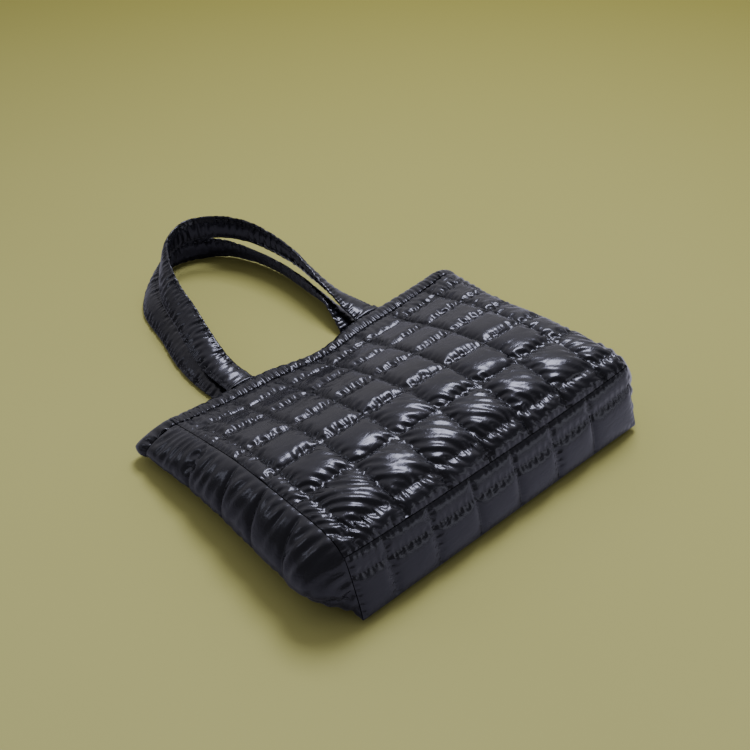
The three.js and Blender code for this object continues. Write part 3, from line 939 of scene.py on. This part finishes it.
@dataclass
class QuiltedPanel:
    """A quilted panel: shell cloth puckered over wadding, and a plain lining."""

    wall: Wall
    puff: float
    slack: Slack
    lining: float = 2.0
    fullness: float = 2.5  # higher, and the cells have broader tops
    flank: float = 0.8  # lower, and their sides are steeper
    narrow: float = 0.8  # power by which narrow cells are lower
    stitch: int = 3  # grid steps for each stitch
    bend: float = 0.006
    seed: int = 1

    def cells(self, lines: Sequence[int], values: Grid, scale: float) -> tuple[Grid, Grid]:
        """Place within its cell, and the cell's size, for each grid line.

        Args:
            lines: grid indices of the quilting lines.
            values: values of the grid lines.
            scale: millimetres for one unit of value.

        Returns:
            The place from 0 to 1, and the size in millimetres.
        """
        place, size = np.zeros(len(values)), np.zeros(len(values))
        for start, end in zip(lines[:-1], lines[1:]):
            span = values[end] - values[start]
            place[start : end + 1] = (values[start : end + 1] - values[start]) / span
            size[start : end + 1] = span * scale
            place[end] = 0
        return place, size

    def stand(self) -> tuple[Grid, Grid, Grid, Grid]:
        """Height of the wadding, shape of the cells, and the distance from stitching each way."""
        rows, columns = self.wall.line_indices()
        u, size_u = self.cells(rows, self.wall.a, self.wall.a_scale)
        v, size_v = self.cells(columns, self.wall.b, self.wall.b_scale)
        dome_u = np.clip(1 - np.abs(2 * u - 1) ** self.fullness, 0, 1) ** self.flank
        dome_v = np.clip(1 - np.abs(2 * v - 1) ** self.fullness, 0, 1) ** self.flank
        full = np.outer(np.minimum(1, size_u / PITCH), np.minimum(1, size_v / PITCH)) ** self.narrow
        away_u = (np.minimum(u, 1 - u) * size_u)[:, None] + 0 * v[None, :]
        away_v = (np.minimum(v, 1 - v) * size_v)[None, :] + 0 * u[:, None]
        shape = np.outer(dome_u, dome_v)
        return self.puff * full * shape, shape, away_u, away_v

    def holds(self) -> Grid:
        """True where stitches or seams hold the cloth."""
        rows, columns = self.wall.line_indices()
        held = np.zeros(self.wall.a_grid.shape, bool)
        for row in rows:
            held[row, :: self.stitch] = True
        for column in columns:
            held[:: self.stitch, column] = True
        held[np.ix_(rows, columns)] = True
        held[0] = held[-1] = True
        held[:, 0] = held[:, -1] = True
        return held

    def extra(self, away_u: Grid, away_v: Grid, rng: np.random.Generator) -> tuple[Grid, Grid, Grid]:
        """Slack of the cloth at each point."""
        shape, slack = self.wall.a_grid.shape, self.slack
        change = [uneven(shape, (30, 6), slack.variety, rng) for _ in range(4)]
        extra_u = slack.body * change[0] + slack.line * np.exp(-away_v / slack.fade) * change[1]
        extra_v = (slack.body + slack.long) * change[1]
        extra_v += 0.7 * slack.line * np.exp(-away_u / slack.fade) * change[0]
        return extra_u, extra_v, slack.shear * self.skewed() * change[2] * change[3]

    def skewed(self) -> Grid:
        """Where the cloth hangs askew, from 0 to 1."""
        return np.ones(self.wall.a_grid.shape)

    def build(self, material: bpy.types.Material, stitches: StitchRows) -> bpy.types.Object:
        """Settles the cloth and joins it to its lining.

        Args:
            material: the nylon's finish.
            stitches: where its sewing thread is added.

        Returns:
            The panel's object.
        """
        wall = self.wall
        rng = np.random.default_rng(self.seed)
        height, shape, away_u, away_v = self.stand()
        rise = unit(wall.offset)
        base = wall.set_back(wall.middle + wall.offset + rise * height[..., None])
        base[..., 2] = np.maximum(base[..., 2], 0)
        held = self.holds()
        cloth = ShellCloth(base, wall.facing, held, self.extra(away_u, away_v, rng), self.bend)
        outer = cloth.settle(base, held, 0.1, rng)
        every = slice(None, None, COARSE)
        drop = wall.offset[every, every] + rise[every, every] * (self.lining * shape[every, every])[..., None]
        inner = wall.set_back(wall.middle[every, every] - drop)
        flat = np.stack([wall.a_grid * wall.a_scale, wall.b_grid * wall.b_scale], -1)
        shell = Shell()
        outside = shell.add_points(outer, flat)
        inside = shell.add_points(inner, flat[every, every])
        shell.add_grid(outside)
        shell.add_grid(inside.T)
        shell.add_rim(outside[:, 0], inside[:, 0])
        shell.add_rim(outside[::-1, -1], inside[::-1, -1])
        shell.add_rim(outside[0, ::-1], inside[0, ::-1])
        shell.add_rim(outside[-1], inside[-1])
        self.sew(outer, cloth.outward, stitches)
        return shell.build(wall.name + "_quilted", material)

    def sew(self, outer: Grid, outward: Grid, stitches: StitchRows) -> None:
        """Adds the panel's quilting stitches."""
        rows, columns = self.wall.line_indices()
        for row in rows[1:-1]:
            stitches.add_line(outer[row, :: self.stitch], outward[row, :: self.stitch])
        for column in columns[1:-1]:
            stitches.add_line(outer[:: self.stitch, column], outward[:: self.stitch, column])


@dataclass
class FrontPanel(QuiltedPanel):
    """The upper panel, whose cells crumple aslant near the base and are flatter near the mouth."""

    askew: tuple[float, float, float, float] = (0.0, 24.0, 62.0, 120.0)  # where the folds come and go
    flatter: tuple[float, float] = (60.0, 190.0)  # where the cells begin to flatten, and are flattest
    lowest: float = 0.64  # share of the puff that is left there
    broader: float = 1.6  # power that makes their tops broader and their sides steeper

    def stand(self) -> tuple[Grid, Grid, Grid, Grid]:
        """The wadding's height and shape, flatter towards the mouth, and the distances from stitching."""
        height, shape, away_u, away_v = super().stand()
        share = ease(self.wall.b_grid, *self.flatter)
        most = height / np.maximum(shape, 1e-6) * lerp(1, self.lowest, share)
        shape = 1 - (1 - shape) ** lerp(1, self.broader, share)
        return most * shape, shape, away_u, away_v

    def skewed(self) -> Grid:
        """Strongest in the first whole row of cells, and a little stronger to the left."""
        along = self.wall.b_grid
        begin, full, fade, end = self.askew
        rise = ease(along, begin, full) * (1 - ease(along, fade, end))
        return rise * (1.05 - 0.2 * self.wall.a_grid)


@dataclass
class Band:
    """The gathered binding of the mouth over one panel: a hem folded round the mouth's edge."""

    name: str
    at: Callable[[Grid, Grid], Grid]
    facing: int
    a: Grid
    a_scale: float
    swell: float = 2.4
    gather: int = 4  # grid steps for each gather
    steps: int = 12
    slack: float = 0.015  # extra cloth everywhere
    gathered: float = 0.34  # extra cloth at its seam
    seed: int = 3

    def wall(self) -> Wall:
        """The band's grid, from its seam to the mouth's edge."""
        b = np.linspace(BAND_START, BAND_END, self.steps + 1)
        ends = [self.a[0], self.a[-1]]
        return Wall(self.name, self.at, self.facing, self.a, b, ends, [b[0], b[-1]], self.a_scale, 1)

    def build(self, wall: Wall, material: bpy.types.Material, stitches: StitchRows) -> bpy.types.Object:
        """Gathers the hem and closes its ends.

        Args:
            wall: the band's grid, with its mitres set.
            material: the nylon's finish.
            stitches: where its sewing thread is added.

        Returns:
            The band's object.
        """
        place = np.linspace(0, 1, self.steps + 1)
        belly = (self.swell * np.sin(math.pi * np.clip(place * 1.15, 0, 1)) ** 0.7)[None, :, None]
        points = wall.set_back(wall.middle)
        rise = unit(wall.offset)
        outer = points + wall.offset + rise * belly
        inner = points - wall.offset - rise * belly
        outer[:, -1] += unit(points[:, -2] - points[:, -1]) * WALL / 2
        inner[:, -1] += unit(points[:, -2] - points[:, -1]) * WALL / 2
        edge = points[:, -1]
        tip = unit(points[:, -1] - points[:, -2]) * WALL / 2
        lift = wall.offset[:, -1]
        turn = [edge - tip + tip * math.sin(angle) + lift * math.cos(angle)
                for angle in np.linspace(0, math.pi, 7)[1:-1]]
        around = np.concatenate([outer, np.stack(turn, 1), inner[:, ::-1]], 1)
        around[..., 2] = np.maximum(around[..., 2], 0)
        held = np.zeros(around.shape[:2], bool)
        held[:: self.gather, 0] = True
        held[:, -1] = True
        held[0] = held[-1] = True
        rng = np.random.default_rng(self.seed)
        near_seam = np.exp(-np.arange(around.shape[1]) / 4.0)[None, :]
        extra = (self.slack + self.gathered * near_seam) * uneven(held.shape, (14, 5), 0.4, rng)
        cloth = ShellCloth(around, wall.facing, held, (extra, 0 * extra, 0 * extra))
        settled = cloth.settle(around, held, 0.15, rng)
        shell = Shell()
        length = np.arange(around.shape[1]) * SPACING
        flat = np.stack(np.meshgrid(wall.a * wall.a_scale, length, indexing="ij"), -1)
        shell.add_tube(settled, flat)
        stitches.add_line(settled[:: self.gather, 1], cloth.outward[:: self.gather, 1])
        return shell.build(self.name + "_gathered", material)


@dataclass(frozen=True)
class Station:
    """One place that a strap passes, with its lean from 0, flat, to 90, on its edge."""

    x: float
    beyond: float
    lean: float
    height: float = 0.0


@dataclass
class Strap:
    """A padded shoulder strap, swept along its stations with a stitch line along each edge."""

    name: str
    stations: Sequence[Station]
    mouth: Callable[[Grid, Grid], Grid]
    rests: bool
    width: float = 31.0
    thickness: float = 7.0
    foot_width: float = 36.0
    foot_thickness: float = 4.0
    foot_length: float = 24.0
    gap: float = 0.3
    stitch_inset: float = 3.6
    pinch: float = 1.5  # half of its thickness at the stitching
    face_steps: int = 16  # grid steps across each face
    edge_steps: int = 8  # grid steps round each edge
    slack: float = 0.008  # extra cloth everywhere
    loose: float = 0.12  # extra cloth in patches
    gathered: float = 0.24  # extra cloth at the stitching
    fade: float = 2.4  # distance over which that dies out
    stitch: int = 3
    seed: int = 5

    def foot(self, x: float) -> Grid:
        """An end of the strap, just off the mouth's edge."""
        half = FORM.table.read("half", BAND_END)
        return self.mouth(np.array(x / half), np.array(BAND_END)) + np.array([0, self.gap, 0])

    def path(self) -> tuple[Grid, Grid]:
        """Evenly spaced centres of the strap, and its lean at each of them."""
        start, end = self.foot(self.stations[0].x), self.foot(self.stations[-1].x)
        mouth = start[1] - self.gap
        passed = [start]
        for station in self.stations:
            turn = math.radians(station.lean)
            rest = math.sin(turn) * self.width / 2 + math.cos(turn) * self.thickness / 2
            height = max(start[2], rest) if self.rests else station.height
            passed.append(np.array([station.x, mouth + station.beyond, height]))
        passed.append(end)
        leans = [self.stations[0].lean, *(station.lean for station in self.stations), 0]
        points, angles = self.trace(np.array(passed), leans)
        reach = np.concatenate([[0], np.cumsum(np.linalg.norm(np.diff(points, axis=0), axis=1))])
        count = round(reach[-1] / SPACING)
        even = np.linspace(0, reach[-1], count + 1)
        centres = np.stack([np.interp(even, reach, points[:, axis]) for axis in range(3)], -1)
        return centres, np.radians(np.interp(even, reach, angles))

    @staticmethod
    def trace(passed: Grid, leans: Sequence[float]) -> tuple[Grid, Grid]:
        """A smooth curve through the stations.

        Args:
            passed: the points to pass.
            leans: the strap's lean at each.

        Returns:
            Close points on the curve, and the lean at each.
        """
        ends = [2 * passed[0] - passed[1], *passed, 2 * passed[-1] - passed[-2]]
        share = np.linspace(0, 1, 60, endpoint=False)[:, None]
        points, angles = [], []
        for index in range(len(passed) - 1):
            p0, p1, p2, p3 = ends[index : index + 4]
            d0, d1, d2 = (max(float(np.linalg.norm(b - a)) ** 0.5, 1e-4)
                          for a, b in ((p0, p1), (p1, p2), (p2, p3)))
            leave = ((p1 - p0) / d0 - (p2 - p0) / (d0 + d1) + (p2 - p1) / d1) * d1
            arrive = ((p2 - p1) / d1 - (p3 - p1) / (d1 + d2) + (p3 - p2) / d2) * d1
            s, c = share * share, share**3
            curve = p1 * (2 * c - 3 * s + 1) + leave * (c - 2 * s + share)
            points.append(curve + p2 * (3 * s - 2 * c) + arrive * (c - s))
            angles.append(lerp(leans[index], leans[index + 1], share[:, 0]))
        return np.concatenate([*points, passed[-1:]]), np.concatenate([*angles, [leans[-1]]])

    def section(self) -> tuple[Grid, Grid, list[int]]:
        """The cross-section: places across and through, and the indices of its stitch lines."""
        half = self.width / 2
        sewn = half - self.stitch_inset
        across = np.linspace(-1, 1, self.face_steps + 1)
        belly = self.pinch + (self.thickness / 2 - self.pinch) * np.sqrt(np.clip(1 - across**4, 0, 1))
        round_edge = np.linspace(math.pi / 2, -math.pi / 2, self.edge_steps + 1)
        bulge = self.pinch * (1 + 0.35 * np.sin(np.abs(2 * round_edge)))
        lip_x = sewn + self.stitch_inset * np.cos(round_edge) ** 0.8
        lip_y = bulge * np.sin(round_edge)
        x = np.concatenate([across * sewn, lip_x[1:-1], -across * sewn, -lip_x[1:-1], [-sewn]])
        y = np.concatenate([belly, lip_y[1:-1], -belly, -lip_y[1:-1], [self.pinch]])
        turns = [self.face_steps, self.edge_steps, self.face_steps, self.edge_steps]
        return x / half, y / (self.thickness / 2), [0, *np.cumsum(turns).tolist()]

    def build(self, material: bpy.types.Material, stitches: StitchRows) -> bpy.types.Object:
        """Sweeps the strap, lets its cloth pucker and closes its feet.

        Args:
            material: the nylon's finish.
            stitches: where its sewing thread is added.

        Returns:
            The strap's object.
        """
        centres, lean = self.path()
        tangent = unit(np.gradient(centres, axis=0))
        inward = unit(np.stack([tangent[:, 1], -tangent[:, 0], 0 * tangent[:, 0]], -1))
        upward = unit(np.cross(inward, tangent))
        across = inward * np.cos(lean)[:, None] + upward * np.sin(lean)[:, None]
        through = np.cross(tangent, across)
        travelled = np.arange(len(centres)) * SPACING
        from_end = np.minimum(travelled, travelled[::-1])
        foot = np.maximum(0, 1 - from_end / self.foot_length) ** 2
        half_width = lerp(self.width, self.foot_width, foot) / 2
        half_thickness = lerp(self.thickness, self.foot_thickness, foot) / 2
        x, y, sewn = self.section()
        base = centres[:, None] + across[:, None] * (half_width[:, None] * x[None])[..., None]
        base = base + through[:, None] * (half_thickness[:, None] * y[None])[..., None]
        base[..., 2] = np.maximum(base[..., 2], 0)
        held = np.zeros(base.shape[:2], bool)
        for line in sewn:
            held[:: self.stitch, line] = True
        held[:, 0] = held[:, -1] = True
        held[0] = held[-1] = True
        rng = np.random.default_rng(self.seed)
        index = np.arange(base.shape[1])
        away = np.min([np.abs(index - line) for line in sewn], 0) * SPACING
        change = uneven(held.shape, (16, 5), 0.5, rng)
        loose = self.loose * np.maximum(0, smooth_noise(held.shape, 12, rng)) ** 2
        extra = self.slack + loose + (self.gathered * np.exp(-away / self.fade))[None, :] * change
        cloth = ShellCloth(base, 1, held, (extra, 0 * extra, 0 * extra))
        if float(dot(cloth.outward[len(base) // 2, 8], through[len(base) // 2])) < 0:
            cloth.outward = -cloth.outward
        settled = cloth.settle(base, held, 0.15, rng)
        shell = Shell()
        flat = np.stack(np.meshgrid(travelled, index[:-1] * SPACING, indexing="ij"), -1)
        shell.add_tube(settled[:, :-1], flat)
        for line in sewn[:-1]:
            stitches.add_line(settled[:: self.stitch, line], cloth.outward[:: self.stitch, line])
        return shell.build(self.name + "_padded", material)


FRONT_STATIONS = (
    Station(-91, 6, 0, 18), Station(-95, 39, 8, 23), Station(-92, 74, 20, 31), Station(-84, 115, 32, 38),
    Station(-76, 156, 44, 43), Station(-60, 194, 62, 47), Station(-34, 226, 80, 50), Station(0, 237, 90, 51),
    Station(32, 221, 90, 51), Station(54, 193, 88, 49), Station(66, 159, 84, 45), Station(72, 121, 76, 40),
    Station(73, 87, 64, 34), Station(75, 55, 45, 28), Station(80, 29, 18, 21), Station(84, 6, 0, 18),
)
BACK_STATIONS = (
    Station(-101, 5, 0), Station(-105, 35, 14), Station(-106, 77, 32), Station(-96, 131, 38),
    Station(-86, 186, 42), Station(-67, 216, 48), Station(-43, 237, 66), Station(-12, 247, 84),
    Station(18, 239, 88), Station(41, 217, 74), Station(57, 181, 66), Station(66, 140, 64),
    Station(68, 88, 66), Station(68, 45, 48), Station(67, 5, 0),
)


def gusset_on(side: Side) -> Callable[[Grid, Grid], Grid]:
    """The form of one gusset, read by depth and along."""
    return lambda depth, along: FORM.gusset(side, depth, along)


@dataclass
class Body:
    """The bag's five quilted panels and the four bands round its mouth."""

    def panels(self) -> list[QuiltedPanel]:
        """The quilted panels with their puff and slack."""
        front = Wall("front_panel", FORM.front, 1, SHARES, ALONGS, FRONT_COLUMNS, FRONT_ROWS, HALF_WIDTH, 1)
        back = Wall("back_panel", FORM.back, -1, SHARES, ALONGS, FRONT_COLUMNS, FRONT_ROWS, HALF_WIDTH, 1)
        base = Wall("base_panel", FORM.base, -1, SHARES, DEPTHS, BASE_COLUMNS, BASE_DEPTHS,
                    HALF_WIDTH, GUSSET_SCALE)
        made: list[QuiltedPanel] = [
            FrontPanel(front, 6.8, Slack(body=0.008, line=0.18, shear=0.075, variety=0.75), bend=0.0055,
                       seed=21),
            QuiltedPanel(back, 7.2, Slack(line=0.06), seed=12),
            QuiltedPanel(base, 2.7, Slack(body=0.004, line=0.1, fade=3), fullness=3.2, bend=0.004, seed=13),
        ]
        for side in Side:
            wall = Wall(f"gusset_{side.name.lower()}", gusset_on(side), side.value, DEPTHS, ALONGS,
                        GUSSET_DEPTHS, GUSSET_ROWS, GUSSET_SCALE, 1)
            slack = Slack(body=0.004, long=0.035, line=0.08, fade=7, shear=-0.08, variety=0.6)
            made.append(QuiltedPanel(wall, 3.2, slack, fullness=3, bend=0.016, seed=14 + side.value))
        return made

    def bands(self) -> list[Band]:
        """The lengths of binding."""
        made = [Band("band_front", FORM.front, 1, SHARES, HALF_WIDTH),
                Band("band_back", FORM.back, -1, SHARES, HALF_WIDTH, seed=4)]
        for side in Side:
            name = f"band_{side.name.lower()}"
            made.append(Band(name, gusset_on(side), side.value, DEPTHS, GUSSET_SCALE, seed=7 + side.value))
        return made

    def build(self, quilt: GlossNylon, binding: GlossNylon, stitches: StitchRows) -> None:
        """Builds and registers the panels and bands.

        Args:
            quilt: finish of the panels.
            binding: finish of the bands.
            stitches: where their sewing thread is added.
        """
        panels, bands = self.panels(), self.bands()
        band_walls = [band.wall() for band in bands]
        Seams([*(panel.wall for panel in panels), *band_walls])
        panel_finish, band_finish = quilt.material(), binding.material()
        for panel in panels:
            piece = panel.build(panel_finish, stitches)
            register(piece, panel.wall.name)
        for band, wall in zip(bands, band_walls):
            piece = band.build(wall, band_finish, stitches)
            register(piece, band.name)


@dataclass
class Straps:
    """The two shoulder straps."""

    def build(self, finish: GlossNylon, stitches: StitchRows) -> None:
        """Builds and registers both straps.

        Args:
            finish: finish of the straps.
            stitches: where their sewing thread is added.
        """
        material = finish.material()
        for strap in (Strap("strap_front", FRONT_STATIONS, FORM.front, False),
                      Strap("strap_back", BACK_STATIONS, FORM.back, True, seed=6)):
            piece = strap.build(material, stitches)
            register(piece, strap.name)


@dataclass(frozen=True)
class SoftBox:
    """One rectangular lamp that points at the bag."""

    name: str
    direction: tuple[float, float, float]
    distance: float
    size: tuple[float, float]
    power: float
    colour: tuple[float, float, float] = (1.0, 1.0, 1.0)

    def build(self, target: Vector) -> None:
        """Makes the lamp, aimed at the target."""
        lamp = bpy.data.lights.new(self.name, "AREA")
        lamp.shape = "RECTANGLE"
        lamp.size, lamp.size_y = self.size
        lamp.energy = self.power
        lamp.color = self.colour
        holder = bpy.data.objects.new(self.name, lamp)
        bpy.context.scene.collection.objects.link(holder)
        towards = Vector(self.direction).normalized()
        holder.location = target + towards * self.distance
        holder.rotation_euler = towards.to_track_quat("Z", "Y").to_euler()


@dataclass(frozen=True)
class Studio:
    """Pale floor, soft light and the camera at the photograph's angle."""

    eye: tuple[float, float, float] = (-0.5172, -0.7388, 0.8112)
    right: tuple[float, float, float] = (0.763, -0.646, -0.030)
    up: tuple[float, float, float] = (0.450, 0.497, 0.741)
    lens: float = 53.18
    boxes: tuple[SoftBox, ...] = (
        SoftBox("main_box", (0.42, 0.22, 0.87), 1.9, (0.75, 0.75), 35.0, (0.82, 0.84, 1.0)),
        SoftBox("front_box", (0.5, -0.85, 0.15), 2.0, (1.3, 0.44), 2.0, (0.88, 0.9, 1.0)),
        SoftBox("left_box", (-0.7, 0.5, 0.5), 1.7, (0.3, 0.6), 1.1, (0.8, 0.84, 1.0)),
    )
    glow: tuple[float, float, float] = (0.42, 0.62, 0.66)  # the studio's walls are brightest there

    def build(self) -> None:
        """Makes the floor, the lamps, the world light and the camera."""
        self.floor()
        for box in self.boxes:
            box.build(Vector((0, 0, 0.03)))
        self.walls()
        self.camera()

    def walls(self) -> None:
        """Lights the studio's walls dimly, and softly brighter behind the bag."""
        world = bpy.data.worlds.new("soft_world")
        world.use_nodes = True
        nodes = NodeSet(world.node_tree)
        strength = nodes.along(nodes.add("ShaderNodeTexCoord").outputs["Generated"],
                               Vector(self.glow).normalized(), 0.2, 1.0, (0.2, 0.8), "SMOOTHSTEP")
        nodes.feed(world.node_tree.nodes["Background"], {
            "Color": (0.82, 0.8, 0.845, 1),
            "Strength": strength,
        })
        bpy.context.scene.world = world

    @staticmethod
    def floor() -> None:
        """Lays the floor just under the bag."""
        mesh = bpy.data.meshes.new("floor")
        half, depth = 6.0, -0.0003
        mesh.from_pydata([(-half, -half, depth), (half, -half, depth), (half, half, depth),
                          (-half, half, depth)], [], [(0, 1, 2, 3)])
        mesh.materials.append(FloorFinish().material())
        floor = bpy.data.objects.new("floor", mesh)
        bpy.context.scene.collection.objects.link(floor)

    def camera(self) -> None:
        """Sets up the camera."""
        data = bpy.data.cameras.new("photo_camera")
        data.sensor_width = 36.0
        data.lens = self.lens
        camera = bpy.data.objects.new("photo_camera", data)
        bpy.context.scene.collection.objects.link(camera)
        right = Vector(self.right).normalized()
        back = right.cross(Vector(self.up)).normalized()
        up = back.cross(right)
        camera.matrix_world = Matrix.Translation(self.eye) @ Matrix((right, up, back)).transposed().to_4x4()
        bpy.context.scene.camera = camera


def main() -> None:
    """Builds the bag, piece by piece, and its studio."""
    logging.basicConfig(level=logging.INFO, format="%(message)s")
    stitches = StitchRows()
    Body().build(GlossNylon("quilted_nylon"), GlossNylon("band_nylon", crinkle=0.3), stitches)
    Straps().build(GlossNylon("strap_nylon", crinkle=0.3), stitches)
    sewn = stitches.build("sewing_thread", ThreadFinish().material())
    register(sewn)
    Studio().build()


if __name__ == "__main__":
    main()
